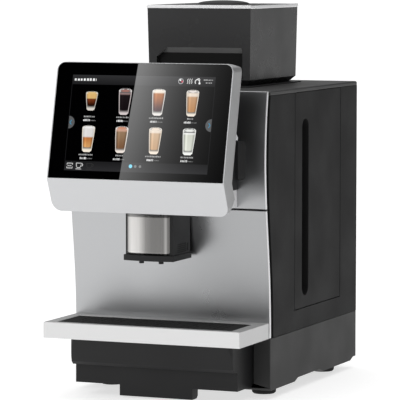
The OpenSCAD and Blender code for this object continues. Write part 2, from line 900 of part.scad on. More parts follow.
module drip_container() {
    low = 17.4;
    color([0.17, 0.17, 0.17]) placed() {
        difference() {
            union() {
                intersection() {
                    along_x(-bin_x, bin_x) container_front();
                    translate([0, 0, 10]) linear_extrude(90) union() {
                        translate([-bin_x + 9, -100]) square([2 * bin_x - 18, 90]);
                        translate([-bin_x, -56 + 9]) square([2 * bin_x, 50]);
                        for (side = [-1, 1]) {
                            translate([side * (bin_x - 9), -56 + 9]) circle(9);
                            translate([side * (bin_x - 9), -70]) circle(9);
                            translate([side * (bin_x - 4.5), -58.5]) square([9, 23], center = true);
                        }
                    }
                }
                block([-bin_x, -20, low], [bin_x, 232, 79.5]);
                along_x(-55.5, 55.5) polygon([[-56, 2], [-40, 2], [-36, 6], [-36, 20], [-56, 20]]);
                block([-tray_w / 2 + 3, -tray_d + 2.4, 88], [tray_w / 2 - 3, -3.6, 92]);
                block([-bin_x, -30, low], [bin_x, -3.6, 90]);
            }
            block([-bin_x + 3, -53, low + 3], [bin_x - 3, 100, 79.5]);
            block([-bin_x + 3, -53, 79], [bin_x - 3, -6.6, 93]);
            block([-bin_x + 3, 103, low + 3], [bin_x - 3, 229, 90]);
            along_x(-bin_x + 3, bin_x - 3)
                polygon([[-79.5, 93], [-79, 90], [-68, 50], [-53, 46.5], [-53, 93]]);
        }
    }
}

module grounds_bin() {
    color([0.13, 0.13, 0.13]) placed() difference() {
        block([-70, 10, 20.4], [60, 98, 78]);
        block([-67.5, 12.5, 23], [57.5, 95.5, 79]);
    }
}

// Cover plate of the drip tray: drain holes inside a ring of short slots that marks the cup's place
module cup_grille() {
    half = tray_w / 2 - 16 - gap;
    back = -0.6 - 22 - gap;
    front = -0.6 - tray_d + 10 + gap;
    top = base_top - 0.4 + tray_h - 0.4;
    plate_t = 3;
    cup_y = (front + back) / 2;
    hole_r = 2.1;
    hole_step = 10;
    ring_r = 36.5;
    color([0.14, 0.14, 0.14]) placed() {
        difference() {
            block([-half, front, top - plate_t], [half, back, top]);
            for (i = [-11 : 11], j = [-2 : 2])
                if (norm([i * hole_step, j * hole_step]) < 29 || abs(i) > 4)
                    post(i * hole_step, cup_y + j * hole_step, top - plate_t - 1, top + 1, hole_r);
            for (a = [0 : 15 : 345])
                translate([0, cup_y, top - 1]) rotate([0, 0, a])
                    block([ring_r - 1, -2.5, 0], [ring_r + 0.4, 2.5, 2]);
        }
        for (x = [-half + 4, half - 4], y = [front + 4, back - 4])
            block([x - 3, y - 3, 92.2], [x + 3, y + 3, top - plate_t]);
    }
}

// ---------- Water tank ----------

module water_tank() {
    z0 = 116;
    z1 = 400;
    t = 2.5;
    y0 = 100;
    y1 = 280;
    color([0.6, 0.7, 0.75, 0.6]) placed() difference() {
        block([tank_x[0], y0, z0], [tank_x[1], y1, z1]);
        block([tank_x[0] + t, y0 + t, z0 + t], [tank_x[1] - t, y1 - t, z1 + 1]);
        post(80, 120, z0 - 1, z0 + t + 1, 6);
    }
}

module tank_lid() {
    color([0.15, 0.15, 0.15]) placed() {
        block([tank_x[0], 100, 400], [tank_x[1], 280, 403]);
        block([tank_x[0] + 3, 103, 396], [tank_x[1] - 3, 277, 400]);
        block([88, 170, 403], [104, 210, 410]);
    }
}

module tank_cover() {
    y0 = tank_y[0];
    y1 = tank_y[1];
    cup_x = tank_x[1];
    color([0.2, 0.2, 0.2]) placed() difference() {
        union() {
            block([inner_x, y0, tank_z[0]], [half_w, y1, tank_z[1]]);
            block([cup_x, grip_y - grip_r - grip_wall, grip_z[0] - grip_wall],
                [inner_x, grip_y + grip_r + grip_wall, grip_z[1] + grip_wall]);
            for (z = [130, 380])
                block([cup_x, 240, z], [inner_x, 244, z + 20]);
        }
        block([cup_x + grip_wall, grip_y - grip_r, grip_z[0] + grip_r],
            [half_w + 1, grip_y + grip_r, grip_z[1] - grip_r]);
        for (z = [grip_z[0] + grip_r, grip_z[1] - grip_r])
            rod_x(grip_y, z, cup_x + grip_wall, half_w + 1, grip_r);
    }
}

base_pan();
rubber_feet();
inner_frame();
left_panel();
right_panel();
back_panel();
top_lid();
lower_panel();
spout_rails();
hinge_brackets();
hinge_pins();
hopper_seat();
hopper_body();
hopper_rim();
grinder_body();
upper_burr();
grinder_motor();
coffee_chute();
brew_frame();
brew_chamber();
brew_motor();
boiler();
water_pump();
flow_meter();
valve_block();
power_supply();
control_board();
fan_frame();
power_inlet();
panel_screws();
upper_door();
door_liner();
screen_bracket();
screen_neck();
screen_latch();
screen_housing();
screen_back();
screen_glass();
screen_panel();
screen_board();
spout_housing();
spout_plate();
spout_nozzles();
spout_carriage();
tray_frame();
drip_container();
grounds_bin();
cup_grille();
water_tank();
tank_cover();
tank_lid();
hopper_lid();
hopper_gate();
power_rocker();
lower_burr();
fan_rotor();
brew_piston();
brew_screw();
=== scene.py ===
"""Looks of the tabletop bean-to-cup coffee machine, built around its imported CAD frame.

Lengths named *_MM and the arguments of at() are millimetres in the CAD's own drafting frame, where Y is
measured from the foot of the front panel. at() turns them into the row frame, in metres.
"""

import json
import math
import random

import bmesh
import bpy
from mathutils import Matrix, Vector

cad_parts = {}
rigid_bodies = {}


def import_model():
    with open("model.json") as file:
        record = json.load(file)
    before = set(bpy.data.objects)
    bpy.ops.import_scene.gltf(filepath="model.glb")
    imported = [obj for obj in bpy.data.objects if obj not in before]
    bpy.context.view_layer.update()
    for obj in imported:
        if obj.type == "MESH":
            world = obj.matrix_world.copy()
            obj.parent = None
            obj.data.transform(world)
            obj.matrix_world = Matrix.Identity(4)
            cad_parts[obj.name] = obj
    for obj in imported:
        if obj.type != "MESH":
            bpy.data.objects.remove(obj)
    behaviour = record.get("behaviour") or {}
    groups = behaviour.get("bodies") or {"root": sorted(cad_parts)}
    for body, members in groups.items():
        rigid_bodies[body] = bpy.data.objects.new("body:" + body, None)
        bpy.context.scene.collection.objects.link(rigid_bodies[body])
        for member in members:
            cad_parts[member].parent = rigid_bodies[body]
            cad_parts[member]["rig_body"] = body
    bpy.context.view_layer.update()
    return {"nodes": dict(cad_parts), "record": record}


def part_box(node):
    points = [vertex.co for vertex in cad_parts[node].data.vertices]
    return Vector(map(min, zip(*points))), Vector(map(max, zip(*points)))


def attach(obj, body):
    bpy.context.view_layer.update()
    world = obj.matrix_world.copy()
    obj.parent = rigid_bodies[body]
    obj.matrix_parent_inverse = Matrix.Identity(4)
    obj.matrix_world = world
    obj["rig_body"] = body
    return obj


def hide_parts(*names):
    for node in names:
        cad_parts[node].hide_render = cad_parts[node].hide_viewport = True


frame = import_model()
NODES = frame["nodes"]

MM = 0.001
BODY_DEPTH_MM = 356.0
DATUM_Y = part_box("back_panel")[1].y - BODY_DEPTH_MM * MM

# Meshes: sharpest angle that still shades smooth, welding distance, and what counts as one flat face
SHARP = math.radians(32)
WELD = 2e-6
FLAT = math.radians(0.4)

# Parts of a face normal, from 0 to 1, beyond which the face counts as looking that way
FACING = 0.9
SIDEWAYS = 0.8
SLOPING = 0.3

# Front skins: the same S-shaped profile as the CAD's
BASE_TOP_MM = 86.0
BULGE_Z_MM = 335.0
LID_TOP_MM = 432.0
BULGE_MM = 20.0
RISE_POWER = 1.15
RECEDE_MM = 8.7
SEAM_MM = 267.3
SEAM_BELOW_MM = 0.8
SEAM_ABOVE_MM = 0.7
SKIN_MM = 5.0
SKIN_HALF_MM = 149.5

# Holes in the skins, as low x, high x, low z, high z
SPOUT_SLOT_MM = (-13, 13, 197, 253)
NECK_WINDOW_MM = (-40, 40, 320, 350)
HINGE_Z_MM = (288, 398)
HINGE_GAP_MM = 2
HINGE_NOTCH_X_MM = -137.5

# Leaning screen: its foot and tilt, how far out its glass lies, and the step between painted layers
SCREEN_TILT = math.radians(13.2)
SCREEN_Y_MM = -130.0
SCREEN_Z_MM = 312.0
GLASS_FACE_MM = -0.1
LAYER_MM = 0.02


def at(x, y, z):
    """A drafting-frame point in millimetres as a row-frame point in metres."""
    return Vector((x * MM, y * MM + DATUM_Y, z * MM))


def front_y(z):
    """Y of the front surface at height z, in the drafting frame."""
    if z < BULGE_Z_MM:
        rise = (max(z - BASE_TOP_MM, 0) / (BULGE_Z_MM - BASE_TOP_MM)) ** RISE_POWER
        return -BULGE_MM * (1 - math.cos(math.pi * rise)) / 2
    return -BULGE_MM + RECEDE_MM * ((z - BULGE_Z_MM) / (LID_TOP_MM - BULGE_Z_MM)) ** 2


def on_screen(x, up, out=0.0):
    """A point on the leaning screen: x across, up along the glass, out towards the user."""
    y = SCREEN_Y_MM + up * math.sin(SCREEN_TILT) - out * math.cos(SCREEN_TILT)
    z = SCREEN_Z_MM + up * math.cos(SCREEN_TILT) + out * math.sin(SCREEN_TILT)
    return at(x, y, z)


# ---------- Shader building blocks ----------


def grey(tone):
    """A colour with three equal parts."""
    return (tone, tone, tone)


def new_material(name):
    """An empty material with one Principled shader."""
    mat = bpy.data.materials.new(name)
    mat.use_nodes = True
    nodes, links = mat.node_tree.nodes, mat.node_tree.links
    nodes.clear()
    out = nodes.new("ShaderNodeOutputMaterial")
    shader = nodes.new("ShaderNodeBsdfPrincipled")
    links.new(shader.outputs["BSDF"], out.inputs["Surface"])
    return mat, nodes, links, shader


def noise(nodes, links, scale, detail=3.0, stretch=(1, 1, 1)):
    """A noise texture in the piece's own coordinates, stretched per axis."""
    where = nodes.new("ShaderNodeTexCoord")
    turn = nodes.new("ShaderNodeMapping")
    turn.inputs["Scale"].default_value = stretch
    tex = nodes.new("ShaderNodeTexNoise")
    tex.inputs["Scale"].default_value = scale
    tex.inputs["Detail"].default_value = detail
    links.new(where.outputs["Object"], turn.inputs["Vector"])
    links.new(turn.outputs["Vector"], tex.inputs["Vector"])
    return tex.outputs["Fac"]


def map_range(nodes, links, value, start, end, low, high, smooth=False):
    """Turns a value between start and end into one between low and high."""
    remap = nodes.new("ShaderNodeMapRange")
    if smooth:
        remap.interpolation_type = "SMOOTHSTEP"
    remap.inputs["From Min"].default_value = start
    remap.inputs["From Max"].default_value = end
    remap.inputs["To Min"].default_value = low
    remap.inputs["To Max"].default_value = high
    links.new(value, remap.inputs["Value"])
    return remap.outputs["Result"]


def tinted(nodes, links, value, dark, light):
    """Blends two colours by a value from 0 to 1."""
    ramp = nodes.new("ShaderNodeValToRGB")
    ramp.color_ramp.elements[0].color = (*dark, 1)
    ramp.color_ramp.elements[1].color = (*light, 1)
    ramp.color_ramp.elements[0].position = 0.3
    ramp.color_ramp.elements[1].position = 0.7
    links.new(value, ramp.inputs["Fac"])
    return ramp.outputs["Color"]


def own_axes(nodes, links):
    """The X, Y and Z sockets of the piece's own coordinates."""
    where = nodes.new("ShaderNodeTexCoord")
    apart = nodes.new("ShaderNodeSeparateXYZ")
    links.new(where.outputs["Object"], apart.inputs["Vector"])
    return apart.outputs


def colour_times(nodes, links, shader, factor):
    """Puts a scale by a value between a shader and the colour that feeds it."""
    scaled = nodes.new("ShaderNodeVectorMath")
    scaled.operation = "SCALE"
    links.new(shader.inputs["Base Color"].links[0].from_socket, scaled.inputs["Vector"])
    links.new(factor, scaled.inputs["Scale"])
    links.new(scaled.outputs["Vector"], shader.inputs["Base Color"])


def multiplied(nodes, links, first, second):
    """The product of two colours."""
    mixed = nodes.new("ShaderNodeMix")
    mixed.data_type = "RGBA"
    mixed.blend_type = "MULTIPLY"
    mixed.inputs["Factor"].default_value = 1.0
    links.new(first, mixed.inputs["A"])
    links.new(second, mixed.inputs["B"])
    return mixed.outputs["Result"]


def vertex_paint(nodes):
    """The colour stored at each vertex."""
    paint = nodes.new("ShaderNodeVertexColor")
    paint.layer_name = "paint"
    return paint.outputs["Color"]


# ---------- Materials ----------

NOISE_LOW = 0.32
NOISE_HIGH = 0.68


def surface(
    name,
    colour,
    rough,
    metal=0.0,
    tone=0.06,
    rough_change=0.06,
    blotch=14.0,
    grain=1400.0,
    bump=0.08,
    depth=0.0002,
    stretch=(1, 1, 1),
    coat=0.0,
    coat_rough=0.1,
    specular=0.5,
    anisotropic=0.0,
    transmission=0.0,
):
    """A moulded, painted or metal finish: broad tone change, uneven gloss, and fine grain in relief."""
    mat, nodes, links, shader = new_material(name)
    broad = noise(nodes, links, blotch, 4.0, stretch)
    fine = noise(nodes, links, grain, 2.0, stretch)
    mixed = nodes.new("ShaderNodeMix")
    mixed.data_type = "FLOAT"
    mixed.inputs["Factor"].default_value = 0.4
    links.new(broad, mixed.inputs["A"])
    links.new(fine, mixed.inputs["B"])
    dark = [c * (1 - tone) for c in colour]
    light = [min(1, c * (1 + tone)) for c in colour]
    links.new(tinted(nodes, links, mixed.outputs["Result"], dark, light), shader.inputs["Base Color"])
    low, high = max(0.0, rough - rough_change), min(1.0, rough + rough_change)
    uneven = map_range(nodes, links, broad, NOISE_LOW, NOISE_HIGH, low, high)
    links.new(uneven, shader.inputs["Roughness"])
    if bump:
        relief = nodes.new("ShaderNodeBump")
        relief.inputs["Strength"].default_value = bump
        relief.inputs["Distance"].default_value = depth
        links.new(fine, relief.inputs["Height"])
        links.new(relief.outputs["Normal"], shader.inputs["Normal"])
    shader.inputs["Metallic"].default_value = metal
    shader.inputs["Coat Weight"].default_value = coat
    shader.inputs["Coat Roughness"].default_value = coat_rough
    shader.inputs["Specular IOR Level"].default_value = specular
    shader.inputs["Anisotropic"].default_value = anisotropic
    shader.inputs["Transmission Weight"].default_value = transmission
    return mat


def glow_painted(name):
    """Lit picture behind cover glass: light from the painted colours, mirror gloss on top."""
    mat, nodes, links, shader = new_material(name)
    dots = noise(nodes, links, 2600.0, 1.0)
    faded = tinted(nodes, links, dots, grey(0.94), grey(1))
    links.new(multiplied(nodes, links, vertex_paint(nodes), faded), shader.inputs["Emission Color"])
    shader.inputs["Emission Strength"].default_value = 1.0
    shader.inputs["Base Color"].default_value = (*grey(0.0002), 1)
    shader.inputs["Roughness"].default_value = 0.0
    return mat


SATIN_COLOUR = (0.455, 0.46, 0.468)
SATIN = {"metal": 1.0, "tone": 0.03, "rough_change": 0.03, "grain": 1150, "bump": 0.03, "depth": 0.0001}
PAINTED = {"tone": 0.02, "rough_change": 0.04, "grain": 3000, "bump": 0.05, "depth": 0.0001}
CAST = {"metal": 0.5, "rough_change": 0.04, "grain": 2600, "bump": 0.06, "depth": 0.0001}
MOULDED = {"tone": 0.08, "rough_change": 0.05, "grain": 1700, "bump": 0.20, "depth": 0.0002}
SMOKED = {"tone": 0.08, "rough_change": 0.05, "grain": 900, "bump": 0.02, "depth": 0.0001, "specular": 0.14}

# One finish for each material slot of the CAD
MATS = {
    "satin_silver": surface("satin_silver", SATIN_COLOUR, 0.30, **SATIN),
    "silver_plastic": surface(
        "silver_plastic", (0.58, 0.585, 0.595), 0.42, metal=0.55, coat=0.15, coat_rough=0.3, **PAINTED
    ),
    "tray_silver": surface("tray_silver", grey(0.74), 0.38, tone=0.02, **CAST),
    "rim_silver": surface(
        "rim_silver", (0.84, 0.84, 0.85), 0.30, metal=0.9, tone=0.03, grain=2600, bump=0.06, depth=0.0001
    ),
    "black_shell": surface(
        "black_shell", (0.0085, 0.0085, 0.0087), 0.60, tone=0.10, rough_change=0.05, grain=1700, bump=0.22,
        specular=0.15,
    ),
    "base_shell": surface("base_shell", grey(0.037), 0.54, specular=0.4, **MOULDED),
    "black_trim": surface(
        "black_trim", (0.0085, 0.0085, 0.009), 0.48, tone=0.10, grain=2000, bump=0.12, specular=0.3
    ),
    "smoke_hopper": surface("smoke_hopper", (0.027, 0.027, 0.0275), 0.28, **SMOKED),
    "screen_glass": surface(
        "screen_glass", (0.0004, 0.0004, 0.0005), 0.0, tone=0.05, rough_change=0.002, blotch=40, grain=600,
        bump=0.0,
    ),
    "brushed_steel": surface(
        "brushed_steel", (0.56, 0.54, 0.51), 0.26, metal=1.0, blotch=18, grain=1500, bump=0.16,
        depth=0.0001, stretch=(1, 1, 0.02), anisotropic=0.4,
    ),
    "steel": surface(
        "steel", (0.60, 0.60, 0.61), 0.24, metal=1.0, tone=0.05, bump=0.06, depth=0.0001
    ),
    "cast_alloy": surface(
        "cast_alloy", (0.45, 0.45, 0.46), 0.45, metal=0.9, tone=0.10, grain=900, bump=0.30, depth=0.0003
    ),
    "zinc_sheet": surface(
        "zinc_sheet", (0.50, 0.51, 0.52), 0.38, metal=0.85, tone=0.14, blotch=60, grain=500, bump=0.04
    ),
    "rubber": surface(
        "rubber", grey(0.014), 0.72, tone=0.12, grain=900, bump=0.22, depth=0.0003, specular=0.3
    ),
    "circuit": surface(
        "circuit", (0.015, 0.11, 0.045), 0.35, tone=0.25, blotch=140, grain=700, bump=0.25, depth=0.0004
    ),
    "tank_clear": surface(
        "tank_clear", (0.62, 0.70, 0.74), 0.08, tone=0.03, grain=400, bump=0.01, transmission=0.85
    ),
    "brass": surface("brass", (0.62, 0.44, 0.18), 0.30, metal=1.0, tone=0.10, grain=900),
    "inner_plastic": surface(
        "inner_plastic", grey(0.045), 0.50, tone=0.10, grain=1300, bump=0.18, specular=0.4
    ),
    "red_plastic": surface("red_plastic", (0.42, 0.02, 0.02), 0.30, grain=900, bump=0.05, coat=0.3),
}

# Finishes for single pieces, or for some faces of a piece, several of them copies with painted light or shade
PICTURE = glow_painted("screen_picture")
# Painted shade: darker copies of the tray's finish for its top face and its walls that look along X.
TRAY_TOP_SHADE = surface("tray_top_painted_shade", grey(0.50), 0.45, tone=0.03, **CAST)
TRAY_SIDE_SHADE = surface("tray_side_painted_shade", grey(0.60), 0.42, tone=0.02, **CAST)
BASE_DARK = surface("base_dark", grey(0.023), 0.54, specular=0.3, **MOULDED)
# Painted highlight: a brighter copy of the satin for the outer side faces of the front skins.
SKIN_EDGE_HIGHLIGHT = surface(
    "skin_edge_painted_highlight", (0.78, 0.78, 0.79), 0.35, metal=0.8, tone=0.02, rough_change=0.03, grain=2600, bump=0.05
)
# Painted shade: a darker copy of the silver plastic for the screen housing's faces that look along X.
HOUSING_SIDE_SHADE = surface("housing_side_painted_shade", (0.36, 0.362, 0.366), 0.46, metal=0.55, **PAINTED)
NECK_SILVER = surface("neck_silver", (0.86, 0.86, 0.87), 0.5, metal=0.2, **PAINTED)
# Painted light: a paler copy of the smoked finish for the hopper's front faces.
HOPPER_FRONT_LIT = surface("hopper_front", (0.060, 0.060, 0.061), 0.28, **SMOKED)
# Painted highlight: a light grey for the band that slopes under the hopper pocket's upper edge.
HOPPER_BAND_HIGHLIGHT = surface(
    "hopper_band_painted_highlight", grey(0.26), 0.5, rough_change=0.04, grain=1200, bump=0.05, specular=0.3
)
# Painted shade: near-black for the back of the hopper's front pocket.
HOPPER_POCKET_SHADE = surface(
    "hopper_pocket_painted_shade", grey(0.009), 0.6, tone=0.10, rough_change=0.04, grain=1200, bump=0.05, specular=0.15
)
GRILLE_BLACK = surface(
    "grille_black", grey(0.030), 0.85, tone=0.12, rough_change=0.04, grain=1500, bump=0.2, specular=0.08
)


def satin_painted_shade(name, low, high, dark_low, dark_high):
    """Satin silver with painted shade: darker to the right, by one factor at height low and another at height
    high.
    """
    mat = surface(name, SATIN_COLOUR, 0.30, **SATIN)
    nodes, links = mat.node_tree.nodes, mat.node_tree.links
    axes = own_axes(nodes, links)
    factor = nodes.new("ShaderNodeMix")
    factor.data_type = "FLOAT"
    factor.inputs["A"].default_value = 1.0
    rightward = map_range(nodes, links, axes["X"], -60 * MM, 90 * MM, 0.0, 1.0, smooth=True)
    upward = map_range(nodes, links, axes["Z"], low * MM, high * MM, dark_low, dark_high, smooth=True)
    links.new(rightward, factor.inputs["Factor"])
    links.new(upward, factor.inputs["B"])
    colour_times(nodes, links, nodes["Principled BSDF"], factor.outputs["Result"])
    return mat


def paint_light_by_height(mat, foot, head, low_factor, high_factor):
    """Paints light or shade into a material's colour, scaling it by one factor up to height foot and another
    from height head.
    """
    nodes, links = mat.node_tree.nodes, mat.node_tree.links
    height = own_axes(nodes, links)["Z"]
    factor = map_range(nodes, links, height, foot * MM, head * MM, low_factor, high_factor)
    colour_times(nodes, links, nodes["Principled BSDF"], factor)


def steel_painted_reflections(name, low, high, bands):
    """Brushed steel with painted reflections, whose tone changes across X: (place from 0 to 1, brightness)
    for each stop.
    """
    mat = surface(
        name, grey(0.5), 0.27, metal=1.0, tone=0.10, rough_change=0.05, blotch=30, grain=1500, bump=0.16,
        depth=0.0001, stretch=(1, 1, 0.02),
    )
    nodes, links = mat.node_tree.nodes, mat.node_tree.links
    shader = nodes["Principled BSDF"]
    ramp = nodes.new("ShaderNodeValToRGB")
    stops = ramp.color_ramp.elements
    for i, (place, tone) in enumerate(bands):
        stop = stops[i] if i < 2 else stops.new(place)
        stop.position = place
        stop.color = (tone * 2.04, tone * 2.0, tone * 1.95, 1)
    across = own_axes(nodes, links)["X"]
    links.new(map_range(nodes, links, across, low * MM, high * MM, 0.0, 1.0), ramp.inputs["Fac"])
    plain = shader.inputs["Base Color"].links[0].from_socket
    links.new(multiplied(nodes, links, plain, ramp.outputs["Color"]), shader.inputs["Base Color"])
    return mat


PLATE_HALF_MM = 32.0
# Painted shade on the two front skins, which darken to the right by amounts that change with height.
SATIN_LOWER_PAINTED_LIGHT = satin_painted_shade("satin_lower_painted_light", 120, 240, 0.72, 0.82)
SATIN_DOOR_PAINTED_SHADE = satin_painted_shade("satin_door_painted_shade", 270, 310, 0.84, 0.78)
# Painted reflection: the lower skin is twice as bright along its foot, fading out over nine millimetres.
paint_light_by_height(SATIN_LOWER_PAINTED_LIGHT, BASE_TOP_MM + 1, BASE_TOP_MM + 10, 2.0, 1.0)
# Painted shade on the hopper's paler front, darker towards its top.
paint_light_by_height(HOPPER_FRONT_LIT, 445, 500, 1.0, 0.72)
# Painted reflections: light and dark bands across the bowed spout plate.
PLATE_STEEL_REFLECTIONS = steel_painted_reflections("plate_steel_painted_reflections", -PLATE_HALF_MM, PLATE_HALF_MM, [
    (0.0, 0.26), (0.05, 0.58), (0.11, 0.68), (0.28, 0.60), (0.46, 0.25), (0.60, 0.19), (0.86, 0.19),
    (0.90, 0.36), (0.925, 0.36), (0.95, 0.17), (1.0, 0.14),
])


# ---------- Making pieces ----------


def made_object(bm, name, material):
    """Turns a bmesh, whose points are in the row frame, into an object of the scene."""
    mesh = bpy.data.meshes.new(name)
    bm.to_mesh(mesh)
    bm.free()
    mesh.materials.append(material)
    obj = bpy.data.objects.new(name, mesh)
    bpy.context.scene.collection.objects.link(obj)
    return obj


def paint_vertices(obj, colours):
    """Stores one linear colour per vertex."""
    layer = obj.data.color_attributes.new("paint", "FLOAT_COLOR", "POINT")
    for i, colour in enumerate(colours):
        layer.data[i].color = (*colour, 1.0)


def finish_mesh(bm, name, body, slot, replaces=(), bevel=0.0, segments=2, material=None):
    """Turns a bmesh into a piece that rides on a body, with its edges rounded by bevel millimetres."""
    obj = made_object(bm, name, material or MATS[slot])
    obj.data.shade_smooth()
    obj.data.set_sharp_from_angle(angle=SHARP)
    if bevel:
        edge = obj.modifiers.new("edges", "BEVEL")
        edge.width = bevel * MM
        edge.segments = segments
        edge.limit_method = "ANGLE"
        edge.angle_limit = SHARP
        edge.use_clamp_overlap = True
        obj.modifiers.new("flat_faces", "WEIGHTED_NORMAL").keep_sharp = True
    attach(obj, body)
    if replaces:
        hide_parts(*replaces)
    return obj


def softened(node, bevel, slot, segments=2, material=None):
    """A copy of a CAD node with its flat faces merged and its edges rounded, in place of that node."""
    source = NODES[node]
    bm = bmesh.new()
    bm.from_mesh(source.data)
    bmesh.ops.remove_doubles(bm, verts=bm.verts, dist=WELD)
    bmesh.ops.dissolve_limit(bm, angle_limit=FLAT, verts=bm.verts, edges=bm.edges, delimit={"NORMAL"})
    return finish_mesh(bm, node + "_finish", source["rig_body"], slot, [node], bevel, segments, material)


def thicken(obj, thickness):
    """Gives an open sheet a thickness in millimetres, behind its face."""
    thick = obj.modifiers.new("thickness", "SOLIDIFY")
    thick.thickness = thickness * MM
    thick.offset = -1


def block_mesh(bm, low, high):
    """Adds a box between two drafting-frame corners to a bmesh."""
    a, b = at(*low), at(*high)
    made = bmesh.ops.create_cube(bm, size=1.0)["verts"]
    centre, size = (a + b) / 2, b - a
    for v in made:
        v.co = Vector((v.co.x * size.x, v.co.y * size.y, v.co.z * size.z)) + centre


def fill_rows(bm, rows):
    """Fills the faces between rows of vertices, which all have the same length."""
    for lower, upper in zip(rows, rows[1:]):
        for i in range(len(lower) - 1):
            bm.faces.new([lower[i], lower[i + 1], upper[i + 1], upper[i]])


def repaint(obj, material, chosen):
    """Gives a further material to the faces for which chosen(face) is true."""
    obj.data.materials.append(material)
    index = len(obj.data.materials) - 1
    for face in obj.data.polygons:
        if chosen(face):
            face.material_index = index


def faces_sideways(face):
    """Whether a face looks along X."""
    return abs(face.normal.x) > SIDEWAYS


# ---------- Curved front skins ----------


def skin_mesh(z0, z1, holes, steps=72, clearance=1.4):
    """A curved front skin between two heights, less some holes, with its even rows clear of their edges."""
    bm = bmesh.new()
    cuts = {z for hole in holes for z in hole[2:]}
    even = {z0 + (z1 - z0) * i / steps for i in range(1, steps)}
    clear = {z for z in even if all(abs(z - cut) > clearance for cut in cuts)}
    zs = sorted({z0, z1} | cuts | clear)
    xs = sorted({-SKIN_HALF_MM, SKIN_HALF_MM} | {x for hole in holes for x in hole[:2]})
    rows = [[bm.verts.new(at(x, front_y(z), z)) for x in xs] for z in zs]
    faces = []
    for i in range(len(zs) - 1):
        for j in range(len(xs) - 1):
            x, z = (xs[j] + xs[j + 1]) / 2, (zs[i] + zs[i + 1]) / 2
            if not any(low < x < high and foot < z < top for low, high, foot, top in holes):
                faces.append(bm.faces.new([rows[i][j], rows[i][j + 1], rows[i + 1][j + 1], rows[i + 1][j]]))
    for v in [v for v in bm.verts if not v.link_faces]:
        bm.verts.remove(v)
    grown = bmesh.ops.extrude_face_region(bm, geom=faces)["geom"]
    for v in grown:
        if isinstance(v, bmesh.types.BMVert):
            v.co.y += SKIN_MM * MM
    bmesh.ops.recalc_face_normals(bm, faces=bm.faces)
    return bm


def front_skin(name, body, replaced, material, z0, z1, holes):
    """One front skin, with a painted highlight: a brighter finish on its two outer side faces."""
    bm = skin_mesh(z0, z1, holes)
    skin = finish_mesh(bm, name, body, "satin_silver", [replaced], bevel=1.0, segments=3, material=material)
    near_side = 0.1
    repaint(skin, SKIN_EDGE_HIGHLIGHT, lambda face: faces_sideways(face) and abs(face.center.x) > near_side)


hinge_notches = [
    (-SKIN_HALF_MM, HINGE_NOTCH_X_MM, z - HINGE_GAP_MM, z + HINGE_GAP_MM) for z in HINGE_Z_MM
]
front_skin(
    "lower_front_skin", "cabinet", "lower_panel", SATIN_LOWER_PAINTED_LIGHT, BASE_TOP_MM, SEAM_MM - SEAM_BELOW_MM,
    [SPOUT_SLOT_MM],
)
front_skin(
    "door_front_skin", "door", "upper_door", SATIN_DOOR_PAINTED_SHADE, SEAM_MM + SEAM_ABOVE_MM, LID_TOP_MM,
    hinge_notches + [NECK_WINDOW_MM],
)

# Guide lugs behind the lower skin, on both sides of the spout's slot
LUG_Z_MM = (152, 256)
LUG_X_MM = (13.5, 30)
LUG_BACK_MM = 24
LUG_HEIGHT_MM = 8
LUG_SINK_MM = 0.5
bm = bmesh.new()
for z in LUG_Z_MM:
    for side in (-1, 1):
        low_x, high_x = sorted(side * x for x in LUG_X_MM)
        front = front_y(z) + SKIN_MM - LUG_SINK_MM
        block_mesh(bm, (low_x, front, z), (high_x, LUG_BACK_MM, z + LUG_HEIGHT_MM))
finish_mesh(bm, "spout_guide_lugs", "cabinet", "zinc_sheet", bevel=0.6)

# Hinge knuckles on the door, above and below each bracket
KNUCKLE_X_MM = (-149.3, -142.4)
KNUCKLE_Y_MM = (-14.4, -9)
KNUCKLE_REACH_MM = 14
bm = bmesh.new()
for z in HINGE_Z_MM:
    for foot, top in ((z - KNUCKLE_REACH_MM, z - HINGE_GAP_MM), (z + HINGE_GAP_MM, z + KNUCKLE_REACH_MM)):
        block_mesh(bm, (KNUCKLE_X_MM[0], KNUCKLE_Y_MM[0], foot), (KNUCKLE_X_MM[1], KNUCKLE_Y_MM[1], top))
finish_mesh(bm, "door_knuckles", "door", "zinc_sheet", bevel=1.2)


# ---------- Outer shells with rounded edges ----------

# Node, edge radius in millimetres, slot, bevel segments
SHELLS = [
    ("left_panel", 0.8, "black_shell", 2),
    ("right_panel", 0.8, "black_shell", 2),
    ("back_panel", 0.5, "black_shell", 1),
    ("top_lid", 0.7, "base_shell", 2),
    ("hopper_rim", 0.6, "rim_silver", 2),
    ("hopper_lid", 0.8, "black_trim", 2),
    ("hopper_seat", 0.4, "black_trim", 1),
    ("drip_container", 0.8, "black_trim", 2),
    ("tank_cover", 0.8, "black_shell", 2),
    ("screen_bracket", 1.2, "black_trim", 2),
    ("screen_latch", 0.6, "silver_plastic", 2),
    ("screen_back", 1.5, "black_trim", 2),
    ("screen_glass", 0.3, "screen_glass", 1),
    ("spout_housing", 0.7, "black_trim", 2),
    ("spout_nozzles", 0.4, "black_trim", 1),
]
for node, bevel, slot, segments in SHELLS:
    softened(node, bevel, slot, segments)
softened("cup_grille", 0.3, "black_trim", 1, material=GRILLE_BLACK)
softened("base_pan", 1.0, "base_shell", 2, material=BASE_DARK)
softened("screen_neck", 0.3, "silver_plastic", 2, material=NECK_SILVER)
# The screen housing's faces that look along X take painted shade.
repaint(softened("screen_housing", 1.6, "silver_plastic", 3), HOUSING_SIDE_SHADE, faces_sideways)

# The hopper, with painted light: a paler front, and a pocket with a painted highlight on its sloping band
# over a back in painted shade
FRONT_DEPTH_MM = 5
BAND_DEPTH_MM = 9
POCKET_DEPTH_MM = 14
BAND_LOW_MM = 470
hopper = softened("hopper_body", 1.2, "smoke_hopper", 3)
hopper_front = min(v.co.y for v in hopper.data.vertices)


def hopper_depth(face):
    """How far a face lies behind the hopper's foremost point, in millimetres."""
    return (face.center.y - hopper_front) / MM


